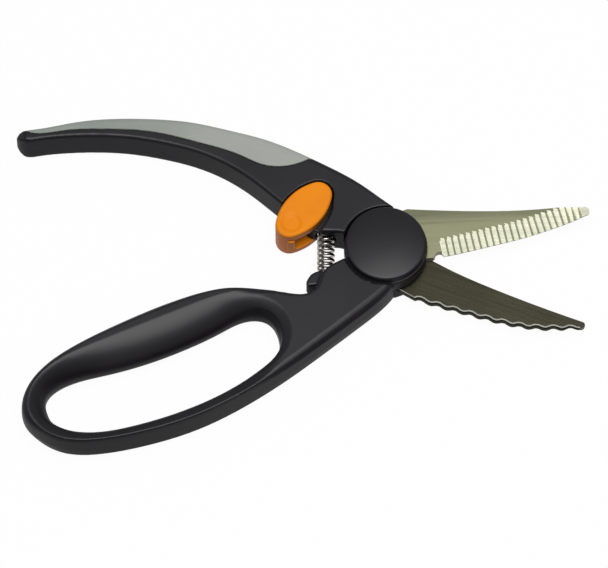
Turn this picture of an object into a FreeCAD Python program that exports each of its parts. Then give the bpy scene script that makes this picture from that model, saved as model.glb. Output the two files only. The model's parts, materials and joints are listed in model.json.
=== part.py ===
import FreeCAD, Part
import os
from math import atan2, cos, radians, sin, sqrt
from FreeCAD import Placement, Rotation, Vector

# Spring-opening poultry shears with a finger loop, a curved palm handle and a lock lever.
# Everything is in millimetres. Each half is drawn as it lies when the shears are shut: pivot axis
# on Z, blade tips towards +X, and z = 0 on the plane where the two blades slide on each other.
# At the end each half is swung open by half the opening angle, and the whole is raised so that
# the far side lies on z = 0. The near side is the one with the large pivot cap, towards +Z.

# ---- driving dimensions -------------------------------------------------------------------
OPEN_HALF = 17.0            # each half swings this far from shut, degrees
HALF_THICK = 8.5            # handles: half their thickness
RIM_TRIM = 0.03             # rounded rims are drawn this much over, then faced off flat
BLADE_THICK = 3.0
BLADE_GAP = 0.05            # from the sliding plane to each blade
BLADE_DISC = 14.0           # round blade root about the pivot, radius

NEAR_HUB = 17.3             # loop handle's hub disc, over its blade
FAR_HUB = 17.0              # palm handle's hub disc, under its blade
HUB_TOP = 7.0               # the cap sits here
RIM_STEP = 18.0             # both handles' near faces step down to the hub at this radius
HUB_SPLIT = 0.3             # from the sliding plane to each hub's skirt
RUN = 0.5                   # room round a hub that turns inside the other handle

BUSH_OUT = 6.0
BUSH_IN = 4.0
BUSH_LOW, BUSH_HIGH = -4.7, 4.5
RUNNING = 0.05              # radial clearance of the turning fits
SHANK = 3.95
HEAD = 7.5
HEAD_LOW, HEAD_HIGH = -7.2, -5.4
SOCKET, SOCKET_DEEP = 3.25, 1.4
NUT_FLATS = 13.0
NUT_CHAMFER = 0.5           # off its corners, at 45 degrees
NUT_LOW, NUT_HIGH = 5.3, 9.1
SHANK_HIGH = 9.5
DISHED_WASHER = 8.4
WASHER_PLAY = 0.1
FLOOR_FAR = 4.8             # plastic left under the far blade ends here
NUT_WELL = 9.5

CAP = 16.7
CAP_HIGH = 11.5
CAP_WALL = 1.7
CAP_RIM = 1.2
SPIGOT_OUT, SPIGOT_IN, SPIGOT_LOW = 9.45, 8.6, 5.6     # pressed into the nut's well
REAR_CAP = 11.0
REAR_CAP_THICK = 1.0
REAR_WELL = 9.0

LEVER_MID = Vector(-37.5, 2.75, 0)
LEVER_LONG, LEVER_WIDE = 15.0, 8.4
LEVER_NOSE = 5.8            # radius of the oval's two ends
LEVER_TILT = 71.0
LEVER_CHAMFER = 0.7
LEVER_ROOM = 0.5
LEVER_AXIS = Vector(-34.3, 12.4, 0)
LEVER_SWING = 12.0
LEVER_NEAR, LEVER_FAR = 8.9, 8.2     # how far its two faces stand from the sliding plane
DIMPLE = Vector(-40.0, -5.0, LEVER_NEAR)
DIMPLE_WIDE, DIMPLE_FLOOR, DIMPLE_DEEP = 4.7, 3.0, 0.8
RIB_HALF = 4.5              # the palm handle's rib between the lever's two plates
PLATE_IN = 4.65
CATCH_HALF = 4.2            # the catch passes between the plates
CATCH_RELIEF = Vector(-38.0, -11.1, 0)  # lower left corner of its room in the palm handle
CATCH_RELIEF_LONG = 12.0
LEVER_PIN = 2.0
LEVER_PIN_HALF = 6.6

SPRING_OUT = 3.75
SPRING_WIRE = 1.2
SPRING_PLAY = 0.05          # from each pocket's floor
SPRING_TURNS = 11
TURN_STEPS = 8
WIRE_SIDES = 5
POCKET = 4.2
POCKET_DEEP = 4.0
POCKET_LEAD = 6.0           # the bore's tool reaches this far out of the pocket
POST, POST_HIGH = 2.2, 3.2
FIXED_SEAT = Vector(-26.8, -6.0, 0)     # middle of the spring pocket's mouth, loop handle
FIXED_SEAT_WAY = 257.5                  # the pocket runs in along this angle, degrees
MOVING_SEAT = Vector(-25.7, -2.5, 0)    # the same, palm handle
MOVING_SEAT_WAY = 111.3

SERRATIONS = 22
SERRATION_PITCH = 2.78      # along the cutting edge
SERRATION_WIDE = 2.6        # leaves a thin land beside each step
SERRATION_DEEP = 0.46       # at the step, running out to nothing towards the tip
BEVEL_WIDE = 6.4
BEVEL_STEPS = 8
BEVEL_EDGE = 0.7            # thickness left at the cutting edge
BEVEL_PAST_TIP, BEVEL_PAST_HEEL = 4.0, 0.6
GRIND_WIDE = 7.0
GRIND_EDGE = 0.55
GRIND_RUN_ON = 0.3          # its tool runs on past the tip by this share of the last span
SCALLOPS = 10
SCALLOP_PITCH = 7.0
SCALLOP_DEEP = 0.95
SCALLOP_FACETS = 6          # straight facets to each lobe and hollow
RIM_BEVEL_WIDE, RIM_BEVEL_DEEP = 0.8, 1.0
RIM_OVER = 0.5              # how far that bevel's tool reaches past the metal

OVER = 1.0                  # how far the other cutting tools do
BLOCK = 400.0               # larger than the shears

UP = Vector(0, 0, 1)
ORIGIN = Vector(0, 0, 0)


# ---- helpers ------------------------------------------------------------------------------
def turn(shape, degrees, centre=ORIGIN):
    """A copy turned about Z."""
    copy = shape.copy()
    copy.rotate(centre, UP, degrees)
    return copy


def polar(radius, degrees, z=0.0):
    return Vector(radius * cos(radians(degrees)), radius * sin(radians(degrees)), z)


def rod(radius, low, high, centre=ORIGIN):
    """An upright cylinder from z = low to z = high."""
    return Part.makeCylinder(radius, high - low, Vector(centre.x, centre.y, low), UP)


def ring(outer, inner, low, high):
    return rod(outer, low, high).cut(rod(inner, low - OVER, high + OVER))


def smooth(points, closed=False, knots=None):
    """A spline edge through the points."""
    curve = Part.BSplineCurve()
    places = [Vector(*p) if not isinstance(p, Vector) else p for p in points]
    if knots:
        curve.interpolate(Points=places, PeriodicFlag=closed, Parameters=knots)
    else:
        curve.interpolate(Points=places, PeriodicFlag=closed)
    return curve


def plate(edges, low, high):
    """The flat region inside a chain of edges, as a solid from z = low to z = high."""
    face = Part.Face(Part.Wire([edge.toShape() if hasattr(edge, "toShape") else edge
                                for edge in edges]))
    face.translate(Vector(0, 0, low - face.BoundBox.ZMin))
    return face.extrude(Vector(0, 0, high - low))


def outline_plate(points, low, high):
    """The same from a closed run of straight lines."""
    corners = [Vector(x, y, low) for x, y in points]
    return Part.Face(Part.makePolygon(corners + corners[:1])).extrude(Vector(0, 0, high - low))


def pillow(nodes, near=(0, 32, 62, 90), far=(0, 48, 90), grow=False):
    """A handle-like solid. nodes are (x, y, rim radius) on its widest outline, and its near and
    far rims are rounded by each node's own radius, in steps at the given angles. With grow the
    outline widens towards the faces in the same way, which makes the tool for a rounded hole."""
    half = HALF_THICK + RIM_TRIM
    places = [Vector(x, y, 0) for x, y, _ in nodes]
    knots = [0.0]
    for here, there in zip(places, places[1:] + places[:1]):
        knots.append(knots[-1] + (there - here).Length)
    curve = smooth(places, closed=True, knots=knots)
    area = sum(a.x * b.y - b.x * a.y for a, b in zip(places, places[1:] + places[:1]))
    side = (1 if area > 0 else -1) * (-1 if grow else 1)
    inward = []
    for knot in knots[:-1]:
        along = curve.tangent(knot)[0]
        inward.append(Vector(-along.y, along.x, 0) * side)
    largest = max(radius for _, _, radius in nodes)
    rise = [half - largest + largest * sin(radians(step)) for step in near]
    fall = [half - largest + largest * sin(radians(step)) for step in reversed(far)]
    sections = []
    for z in [-level for level in fall] + rise:
        moved = []
        for place, way, (_, _, radius) in zip(places, inward, nodes):
            over = max(0.0, abs(z) - (half - radius))
            inset = radius - sqrt(max(0.0, radius * radius - over * over))
            moved.append(place + way * inset + Vector(0, 0, z))
        sections.append(quartered(smooth(moved, closed=True, knots=knots), knots))
    solid = Part.makeLoft(sections, True, True)
    return solid if grow else solid.common(slab())


def quartered(curve, knots):
    """A closed spline as a wire of four edges."""
    stops = [knots[round((len(knots) - 1) * quarter / 4)] for quarter in range(5)]
    edges = []
    for start, end in zip(stops, stops[1:]):
        piece = curve.copy()
        piece.segment(start, end)
        edges.append(piece.toShape())
    return Part.Wire(edges)


def slab():
    """The space between the near and the far faces."""
    return Part.makeBox(BLOCK, BLOCK, 2 * HALF_THICK, Vector(-BLOCK / 2, -BLOCK / 2, -HALF_THICK))


def oval(grow, low, high, swing=0.0):
    """The lever's four-arc oval, as a solid, widened by grow and swung about the lever's axis."""
    long, wide, tight = LEVER_LONG + grow, LEVER_WIDE + grow, LEVER_NOSE + grow
    broad = (long * long + wide * wide - 2 * long * tight) / (2 * (wide - tight))
    lean = atan2(broad - wide, long - tight)
    tip = Vector(long - tight + tight * cos(lean), tight * sin(lean), low)
    corners = [tip, Vector(-tip.x, tip.y, low), Vector(-tip.x, -tip.y, low), Vector(tip.x, -tip.y, low)]
    middles = [Vector(0, wide, low), Vector(-long, 0, low), Vector(0, -wide, low), Vector(long, 0, low)]
    arcs = [Part.Arc(start, middle, end).toShape()
            for start, middle, end in zip(corners, middles, corners[1:] + corners[:1])]
    solid = Part.Face(Part.Wire(arcs)).extrude(Vector(0, 0, high - low))
    solid.rotate(ORIGIN, UP, LEVER_TILT)
    solid.translate(LEVER_MID)
    return turn(solid, swing, LEVER_AXIS)


def turned(profile):
    """A solid of revolution about Z from (radius, height) corners."""
    corners = [Vector(radius, 0, height) for radius, height in profile]
    return Part.Face(Part.makePolygon(corners + corners[:1])).revolve(ORIGIN, UP, 360)


def both_sides(shape):
    """A shape and its mirror image across the sliding plane."""
    return [shape, shape.mirror(ORIGIN, UP)]


def spring_pocket(mouth, way):
    """The tool for a spring's blind pocket, and the post left standing in it."""
    run = Vector(cos(radians(way)), sin(radians(way)), 0)
    bore = Part.makeCylinder(POCKET, POCKET_DEEP + POCKET_LEAD, mouth - run * POCKET_LEAD, run)
    post = Part.makeCylinder(POST, POST_HIGH, mouth + run * POCKET_DEEP, run * -1)
    return bore, post, mouth + run * POCKET_DEEP


# ---- blades -------------------------------------------------------------------------------
SERRATED_SPINE = [(12.9, 16.5), (22.0, 14.0), (34.1, 10.9), (46.2, 8.1), (58.5, 5.7),
                  (68.7, 4.2), (77.0, 3.2), (84.4, 1.9)]
SERRATED_EDGE = [(84.9, -1.4), (78.1, -3.0), (71.5, -4.1), (56.1, -5.9), (43.1, -6.5),
                 (33.0, -6.9), (23.2, -7.0)]
SCALLOPED_EDGE = [(21.0, 3.7), (32.2, 2.2), (50.5, 1.0), (68.5, 0.5), (86.6, 0.5)]
SCALLOP_CRESTS = [(87.2, -2.6), (79.5, -5.5), (67.7, -9.5), (54.3, -11.9), (40.4, -13.2),
                  (26.5, -14.3), (15.5, -14.7)]
BACK_END = Vector(11.5, -13.4, 0)       # where the scalloped back meets the round root

# The tangs buried in the handles: upper line, lower line, and the holes (x, y, radius).
SERRATED_TANG = [(-3, 10), (-13, -3.5), (-22, -13.0), (-32, -17.5), (-45, -22.0)]
SERRATED_TANG_LOW = [(6, -10), (-5, -13.2), (-20, -23.0), (-32, -29.0), (-45, -33.0)]
SERRATED_ANCHORS = [(-24, -19.0, 2.5), (-38, -25.6, 2.5)]
SCALLOPED_TANG = [(2, 13), (-6, 12.4), (-12, 15.2), (-32, 19.5), (-60, 20.5), (-84, 19.0)]
SCALLOPED_TANG_LOW = [(-3, -10), (-10, -4), (-14, 2.0), (-22, 5.0), (-60, 12.0), (-84, 14.5)]
SCALLOPED_ANCHORS = [(-20, 11.5, 2.5), (-56, 15.4, 2.5)]


def line(a, b, z=0.0):
    return Part.makeLine(Vector(a[0], a[1], z), Vector(b[0], b[1], z))


def arc(start, middle, end):
    return Part.Arc(*flat([start, middle, end])).toShape()


def flat(points, z=0.0):
    return [Vector(x, y, z) for x, y in points]


def anchored_tang(upper, lower, holes, low, high):
    """The flat tang buried in a handle, with holes that the moulded plastic runs through."""
    tang = outline_plate(upper + lower[::-1], low, high)
    for x, y, radius in holes:
        tang = tang.cut(rod(radius, low - OVER, high + OVER, Vector(x, y, 0)))
    return tang


def serrated_blade():
    """The near blade: a curved belly with a wide ground bevel, cut across by a row of steps."""
    low, high = BLADE_GAP, BLADE_GAP + BLADE_THICK
    spine_end, edge_end, heel, root = SERRATED_SPINE[-1], SERRATED_EDGE[0], SERRATED_EDGE[-1], (19.3, -7.2)
    outline = [
        smooth(flat(SERRATED_SPINE)).toShape(),
        arc(spine_end, (86.9, 0.3), edge_end),
        smooth(flat(SERRATED_EDGE)).toShape(),
        arc(heel, (21.3, -5.5), root),
        line(root, (18.6, -7.6)),
        line((18.6, -7.6), (11.0, -6.8)),
        line((11.0, -6.8), (4.0, 0.0)),
        line((4.0, 0.0), (3.0, 13.6)),
        arc((3.0, 13.6), (8.3, 15.6), SERRATED_SPINE[0]),
    ]
    blade = plate(outline, low, high)
    tang = anchored_tang(SERRATED_TANG, SERRATED_TANG_LOW, SERRATED_ANCHORS, low, high)
    blade = blade.fuse([rod(BLADE_DISC, low, high), tang]).removeSplitter()
    blade = blade.cut(bevel_tool(low, high))
    blade = blade.cut(step_tools(low, high))
    return blade.cut(rod(BUSH_OUT, low - OVER, high + OVER))


def edge_frame(curve, length):
    """Point on the cutting edge at an arc length, its tangent and the way into the blade."""
    knot = curve.parameterAtDistance(length, curve.FirstParameter)
    along = curve.tangent(knot)[0]
    return curve.value(knot), along, Vector(along.y, -along.x, 0)


def bevel_tool(low, high):
    """What the grinder takes off above the bevel: a wedge swept along the cutting edge."""
    curve = smooth(flat(SERRATED_EDGE))
    slope = (high - low - BEVEL_EDGE) / BEVEL_WIDE
    sections = []
    for step in range(BEVEL_STEPS + 1):
        place, along, into = edge_frame(curve, curve.length() * step / BEVEL_STEPS)
        if step == 0:
            place = place - along * BEVEL_PAST_TIP
        if step == BEVEL_STEPS:
            place = place + along * BEVEL_PAST_HEEL
        outside = place - into * OVER + Vector(0, 0, low + BEVEL_EDGE - OVER * slope)
        inside = place + into * (BEVEL_WIDE + OVER) + Vector(0, 0, high + OVER * slope)
        above = place - into * OVER + Vector(0, 0, high + OVER * slope)
        sections.append(Part.makePolygon([outside, inside, above, outside]))
    return Part.makeLoft(sections, True, True)


def step_tools(low, high):
    """The serrations: across the bevel, square to the cutting edge, a row of facets that each
    start with a step on the pivot's side and run out to nothing towards the tip."""
    curve = smooth(flat(SERRATED_EDGE))
    slope = (high - low - BEVEL_EDGE) / BEVEL_WIDE
    rise, length = 4 * OVER, BEVEL_WIDE + 5 * OVER
    tools = []
    for number in range(SERRATIONS):
        place, along, into = edge_frame(curve, curve.length() - SERRATION_PITCH * (number + 0.5))
        up_bevel = Vector(into.x, into.y, slope).normalize()
        off_bevel = Vector(-into.x * slope, -into.y * slope, 1).normalize()
        foot = place - up_bevel * 2 * OVER + Vector(0, 0, low + BEVEL_EDGE)
        hub_side, tip_side = foot + along * SERRATION_WIDE / 2, foot - along * SERRATION_WIDE / 2
        profile = Part.makePolygon([
            hub_side - off_bevel * SERRATION_DEEP, tip_side, tip_side + off_bevel * rise,
            hub_side + off_bevel * rise, hub_side - off_bevel * SERRATION_DEEP])
        tools.append(Part.Face(profile).extrude(up_bevel * length))
    return tools


def scalloped_blade():
    """The far blade: a straight shearing edge, and a scalloped back."""
    low, high = -BLADE_GAP - BLADE_THICK, -BLADE_GAP
    back = scalloped_back()
    outline = [
        smooth(flat(SCALLOPED_EDGE)).toShape(),
        arc(SCALLOPED_EDGE[-1], (88.5, -1.2), SCALLOP_CRESTS[0]),
        Part.makePolygon([place for place, _ in back]),
        line(back[-1][0], (2.0, -8.0)),
        line((2.0, -8.0), (4.0, 10.0)),
        arc((4.0, 10.0), (14.0, 5.3), SCALLOPED_EDGE[0]),
    ]
    blade = plate(outline, low, high)
    tang = anchored_tang(SCALLOPED_TANG, SCALLOPED_TANG_LOW, SCALLOPED_ANCHORS, low, high)
    blade = blade.fuse([rod(BLADE_DISC, low, high), tang]).removeSplitter()
    blade = blade.cut(grind_tool(low, high))
    blade = blade.cut(rim_bevel_tool(back, high))
    blade = blade.cut(rod(LEVER_PIN, low - OVER, high + OVER, LEVER_AXIS))
    return blade.cut(rod(BUSH_OUT + RUNNING, low - OVER, high + OVER))


def scalloped_back():
    """The wavy back, from the tip to the hub: points on it, each with the way into the blade.
    The lobes' crests lie on one smooth line and the hollows are cut in from it."""
    crests = smooth(flat(SCALLOP_CRESTS))
    knots = []
    for number in range(SCALLOPS):
        for share, depth in ((0, 0), (0.27, 0.2), (0.6, 1)):
            place, _, into = edge_frame(crests, SCALLOP_PITCH * (number + share))
            knots.append(place + into * SCALLOP_DEEP * depth)
    knots.append(edge_frame(crests, SCALLOP_PITCH * SCALLOPS)[0])
    wave = smooth(knots)
    frames = [edge_frame(wave, wave.length() * step / (SCALLOPS * SCALLOP_FACETS))
              for step in range(SCALLOPS * SCALLOP_FACETS + 1)]
    return [(place, into) for place, _, into in frames] + [(BACK_END, frames[-1][2])]


def rim_bevel_tool(back, high):
    """The narrow bevel that follows the wavy back on its near rim."""
    slope = RIM_BEVEL_DEEP / RIM_BEVEL_WIDE
    sections = []
    for place, into in back:
        outside = place - into * RIM_OVER + Vector(0, 0, high - RIM_BEVEL_DEEP - RIM_OVER * slope)
        inside = place + into * (RIM_BEVEL_WIDE + RIM_OVER) + Vector(0, 0, high + RIM_OVER * slope)
        above = place - into * RIM_OVER + Vector(0, 0, high + RIM_OVER * slope)
        sections.append(Part.makePolygon([outside, inside, above, outside]))
    return Part.makeLoft(sections, True, True)


def grind_tool(low, high):
    """The plain bevel on the far face, below the shearing edge."""
    slope = (high - low - GRIND_EDGE) / GRIND_WIDE
    outer = [Vector(x, y + OVER, high - GRIND_EDGE + OVER * slope) for x, y in SCALLOPED_EDGE]
    inner = [Vector(x, y - GRIND_WIDE, low) for x, y in SCALLOPED_EDGE]
    for run in (outer, inner):
        run.append(run[-1] + (run[-1] - run[-2]) * GRIND_RUN_ON)
    face = Part.makeRuledSurface(smooth(outer).toShape(), smooth(inner).toShape())
    return face.extrude(Vector(0, 0, -2 * BLADE_THICK))


# ---- loop handle --------------------------------------------------------------------------
LOOP_OUTER = [
    (0.8, -16.4, 1.0), (-4.3, -20.7, 2.5), (-17.5, -28.3, 3.0), (-33.6, -36.4, 3.0),
    (-52.2, -45.1, 2.5), (-74.3, -53.6, 2.0), (-93.3, -58.6, 2.0), (-114.0, -60.8, 2.0),
    (-133.0, -60.5, 2.2), (-148.7, -56.7, 3.0), (-158.0, -49.0, 4.0), (-161.7, -40.0, 4.5),
    (-159.3, -32.1, 4.5), (-151.6, -24.0, 5.0), (-137.8, -16.7, 5.5), (-115.0, -9.6, 6.2),
    (-92.0, -4.7, 6.5), (-74.0, -3.4, 6.0), (-60.0, -5.5, 4.0), (-50.0, -9.3, 2.0),
    (-42.0, -12.9, 1.2), (-35.5, -13.9, 1.0), (-31.6, -11.6, 1.0), (-29.0, -7.2, 1.0),
    (-25.8, -4.3, 0.8), (-20.2, -2.4, 0.8), (-15.5, -1.4, 0.8), (-10.0, -3.0, 0.8),
    (-3.0, -9.0, 0.8),
]
FINGER_HOLE = [
    (-152.0, -40.5, 4.0), (-149.6, -32.5, 4.5), (-141.0, -28.4, 5.0), (-125.0, -27.3, 5.5),
    (-105.0, -25.9, 6.0), (-88.0, -22.8, 6.0), (-73.0, -18.6, 6.0), (-62.0, -16.2, 6.0),
    (-54.6, -19.6, 6.0), (-51.7, -27.6, 5.5), (-54.2, -37.0, 3.0), (-63.0, -43.3, 1.6),
    (-78.0, -49.4, 1.4), (-97.0, -54.0, 1.4), (-120.0, -56.3, 1.4), (-137.6, -55.0, 1.6),
    (-148.0, -50.2, 2.4),
]
CATCH = [(-27.0, -4.5), (-29.6, -3.6), (-32.1, -4.2), (-34.4, -6.1), (-35.5, -8.3),
         (-35.0, -9.3), (-31.2, -9.5), (-31.0, -12.4), (-33.0, -15.0), (-26.0, -15.0)]


def catch():
    """The nose that the lock lever's beak hooks under when the shears are shut."""
    upper = smooth(flat(CATCH[:6])).toShape()
    rest = [line(a, b) for a, b in zip(CATCH[5:], CATCH[6:] + CATCH[:1])]
    return plate([upper] + rest, -CATCH_HALF, CATCH_HALF)


def loop_handle(blade):
    """One moulding: hub disc, flat web, padded upper arm, thin lower strap and the catch."""
    body = pillow(LOOP_OUTER)
    body = body.cut(rod(RIM_STEP, HUB_TOP, HALF_THICK + OVER))
    body = body.cut(rod(FAR_HUB + RUN, -HALF_THICK - OVER, HUB_SPLIT))
    body = body.fuse([rod(NEAR_HUB, HUB_SPLIT, HUB_TOP), catch()])
    body = body.cut(pillow(FINGER_HOLE, near=(0, 48, 90), grow=True))
    bore, post, _ = spring_pocket(FIXED_SEAT, FIXED_SEAT_WAY)
    body = body.cut(bore).fuse(post)
    body = body.cut(rod(NUT_WELL, BUSH_HIGH, HUB_TOP + OVER))
    body = body.cut(blade)
    return body.cut(rod(BUSH_OUT, -OVER, BUSH_HIGH + OVER))


# ---- palm handle and grip -----------------------------------------------------------------
PALM_OUTER = [
    (0.0, 17.0, 0.8), (-8.0, 19.1, 1.0), (-20.0, 22.8, 1.5), (-36.0, 25.7, 2.0),
    (-50.0, 27.3, 2.5), (-64.0, 27.8, 2.5), (-80.0, 26.3, 2.5), (-96.0, 24.0, 2.5),
    (-112.0, 19.4, 2.5), (-128.0, 13.2, 2.5), (-142.0, 5.9, 2.5), (-153.0, -1.5, 2.0),
    (-159.5, -5.6, 1.2), (-161.9, -8.1, 1.0), (-158.8, -9.8, 1.0), (-152.5, -7.7, 1.0),
    (-143.0, -2.6, 1.0), (-131.0, 2.6, 1.0), (-117.0, 7.2, 1.0), (-103.0, 10.0, 1.0),
    (-88.0, 11.4, 1.0), (-75.0, 10.5, 1.0), (-63.0, 7.7, 1.0), (-52.0, 3.8, 1.0),
    (-43.0, 0.6, 0.8), (-35.5, -2.1, 0.8), (-29.0, -4.0, 0.8), (-24.0, -2.8, 0.8),
    (-17.5, -1.1, 0.8), (-8.0, -6.0, 0.8), (4.0, -6.0, 0.8), (9.0, 5.0, 0.8), (5.5, 14.0, 0.8),
]
TAIL = Vector(-162.2, -8.3, 0)          # the tail's tip, and the way the arm points there
TAIL_WAY = 200.6
TAIL_ROUND = [(5.2, 9.5), (4.2, 8.5), (1.6, 6.2), (0, 2.8)]    # (inset, height) over the end
TAIL_BEYOND, TAIL_WIDE = 5.0, 30.0      # the block that the rounding is cut with
GRIP_LINE = [(-157.0, -5.6), (-153.0, -4.6), (-144.7, 0.0), (-129.6, 6.8), (-110.0, 13.2),
             (-88.6, 15.9), (-71.0, 16.6), (-61.0, 16.0), (-55.5, 17.2), (-50.0, 20.0),
             (-44.0, 25.6)]
GRIP_CORE = [(-150.0, -3.6), (-140.0, 3.0), (-127.0, 10.2), (-111.0, 16.4), (-96.0, 20.8),
             (-80.0, 23.3), (-64.0, 24.6), (-50.0, 24.2), (-38.0, 23.0)]
GRIP_RIB = 4.8


def palm_body():
    """The whole curved arm before the grip is parted from it, with its rounded tail."""
    corners = [Vector(-inset, 0, height) for inset, height in TAIL_ROUND]
    corners += [Vector(-inset, 0, -height) for inset, height in reversed(TAIL_ROUND)]
    corners += [Vector(TAIL_BEYOND, 0, corners[-1].z), Vector(TAIL_BEYOND, 0, corners[0].z), corners[0]]
    end = Part.Face(Part.makePolygon(corners)).extrude(Vector(0, TAIL_WIDE, 0))
    end.translate(Vector(0, -TAIL_WIDE / 2, 0))
    end.rotate(ORIGIN, UP, TAIL_WAY)
    end.translate(TAIL)
    return pillow(PALM_OUTER).cut(end)


def grip_space():
    """Everything on the grip's side of the line where grey meets black, right through, but for
    the rib that the grip is moulded around: the palm handle's outline, drawn in."""
    edge = smooth(flat(GRIP_LINE)).toShape()
    first, last = GRIP_LINE[0], GRIP_LINE[-1]
    beyond = [last, (-40.0, 34.0), (-100.0, 38.0), (-160.0, 10.0), (-165.0, -2.0), first]
    below = [GRIP_CORE[-1], (-40.0, -20.0), (-160.0, -20.0), GRIP_CORE[0]]
    zone = plate([edge] + [line(a, b) for a, b in zip(beyond, beyond[1:])],
                 -HALF_THICK - OVER, HALF_THICK + OVER)
    core = plate([smooth(flat(GRIP_CORE)).toShape()] +
                 [line(a, b) for a, b in zip(below, below[1:])], -GRIP_RIB, GRIP_RIB)
    return zone.cut(core)


def lever_recess():
    """Room in both faces of the palm handle for the lever's plates over their swing."""
    tools = []
    for swing in (0, LEVER_SWING):
        tools += both_sides(oval(LEVER_ROOM, RIB_HALF, HALF_THICK + OVER, swing))
    return tools


def catch_relief():
    """Room under the palm handle's edge for the top of the catch when the shears are shut."""
    return Part.makeBox(CATCH_RELIEF_LONG, POCKET_DEEP * 2, 2 * PLATE_IN,
                        CATCH_RELIEF - UP * PLATE_IN)


def palm_handle(blade):
    """One moulding: far hub disc and the curved arm, with the lever's recess cut in it."""
    body = palm_body()
    body = body.cut(rod(NEAR_HUB + RUN, -HUB_SPLIT, HALF_THICK + OVER))
    body = body.fuse(rod(FAR_HUB, -HALF_THICK, -HUB_SPLIT))
    body = body.cut(lever_recess()).cut(catch_relief())
    bore, post, _ = spring_pocket(MOVING_SEAT, MOVING_SEAT_WAY)
    body = body.cut(bore).fuse(post)
    body = body.cut([rod(REAR_WELL, -HALF_THICK - OVER, -FLOOR_FAR),
                     rod(REAR_CAP, -HALF_THICK - OVER, -HALF_THICK + REAR_CAP_THICK)])
    body = body.cut(grip_space()).cut(blade)
    body = body.cut(rod(LEVER_PIN, -RIB_HALF - OVER, RIB_HALF + OVER, LEVER_AXIS))
    return body.cut(rod(BUSH_OUT + RUNNING, -HALF_THICK, 0))


def soft_grip():
    """The grey grip, moulded over the outer side of the arm and round its rib."""
    return palm_body().common(grip_space())


# ---- lock lever ---------------------------------------------------------------------------
LEVER_SLOT = [(-60.0, 6.5), (-47.0, 1.6), (-42.0, -0.3), (-40.7, -1.4), (-40.7, -9.9),
              (-36.3, -9.9), (-36.3, -14.0), (-20.0, -14.0), (-20.0, 26.0), (-60.0, 26.0)]
BEAK = [(-41.5, -9.9), (-36.3, -9.9), (-36.6, -11.2), (-38.5, -12.0), (-41.5, -10.8)]


def lock_lever():
    """Two oval plates, one on each face, joined below the rib by a bridge with a beak."""
    body = oval(0, -LEVER_FAR, LEVER_NEAR)
    rims = [edge for edge in body.Edges if abs(edge.BoundBox.ZLength) < 0.01]
    body = body.makeChamfer(LEVER_CHAMFER, rims)
    body = body.cut(outline_plate(LEVER_SLOT, -PLATE_IN, PLATE_IN))
    body = body.fuse(outline_plate(BEAK, -CATCH_HALF, CATCH_HALF)).removeSplitter()
    dimple = Part.makeCone(DIMPLE_FLOOR, DIMPLE_WIDE, DIMPLE_DEEP, DIMPLE - UP * DIMPLE_DEEP, UP)
    body = body.cut(dimple)
    hole_half = LEVER_PIN_HALF + WASHER_PLAY
    return body.cut(rod(LEVER_PIN + RUNNING, -hole_half, hole_half, LEVER_AXIS))


def lever_pin():
    return rod(LEVER_PIN, -LEVER_PIN_HALF, LEVER_PIN_HALF, LEVER_AXIS)


# ---- pivot --------------------------------------------------------------------------------
def pivot_bush():
    return ring(BUSH_OUT, BUSH_IN, BUSH_LOW, BUSH_HIGH)


def pivot_bolt():
    head = rod(HEAD, HEAD_LOW, HEAD_HIGH).fuse(rod(SHANK, HEAD_HIGH, SHANK_HIGH)).removeSplitter()
    socket = Part.Face(Part.makePolygon([polar(SOCKET, 60 * k, HEAD_LOW) for k in range(7)]))
    return head.cut(socket.extrude(Vector(0, 0, SOCKET_DEEP)))


def pivot_nut():
    corner = NUT_FLATS / sqrt(3)
    hexagon = Part.Face(Part.makePolygon([polar(corner, 60 * k, NUT_LOW) for k in range(7)]))
    tall, top = NUT_HIGH - NUT_LOW, corner - NUT_CHAMFER
    cone = Part.makeCone(top + tall, top, tall, Vector(0, 0, NUT_LOW), UP)
    nut = hexagon.extrude(Vector(0, 0, tall)).common(cone)
    return nut.cut(rod(SHANK, NUT_LOW - OVER, NUT_HIGH + OVER))


def spring_washer():
    """The dished washer that keeps the blades pressed together, flattened under the nut."""
    return ring(DISHED_WASHER, SHANK + WASHER_PLAY, BUSH_HIGH, NUT_LOW)


def slip_washer():
    """The plain washer that the far hub turns against."""
    return ring(HEAD - WASHER_PLAY, SHANK + WASHER_PLAY, HEAD_HIGH, -FLOOR_FAR - RUNNING)


def pivot_cap():
    """The large round cap, with a spigot that is pressed into the nut's well."""
    roof = CAP_HIGH - CAP_WALL
    return turned([(0, CAP_HIGH), (CAP - CAP_RIM, CAP_HIGH), (CAP, CAP_HIGH - CAP_RIM),
                   (CAP, HUB_TOP), (SPIGOT_OUT, HUB_TOP), (SPIGOT_OUT, SPIGOT_LOW),
                   (SPIGOT_IN, SPIGOT_LOW), (SPIGOT_IN, roof), (0, roof)])


def rear_cap():
    """The flush disc that closes the far hub over the bolt's head."""
    return rod(REAR_CAP, -HALF_THICK, -HALF_THICK + REAR_CAP_THICK)


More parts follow.
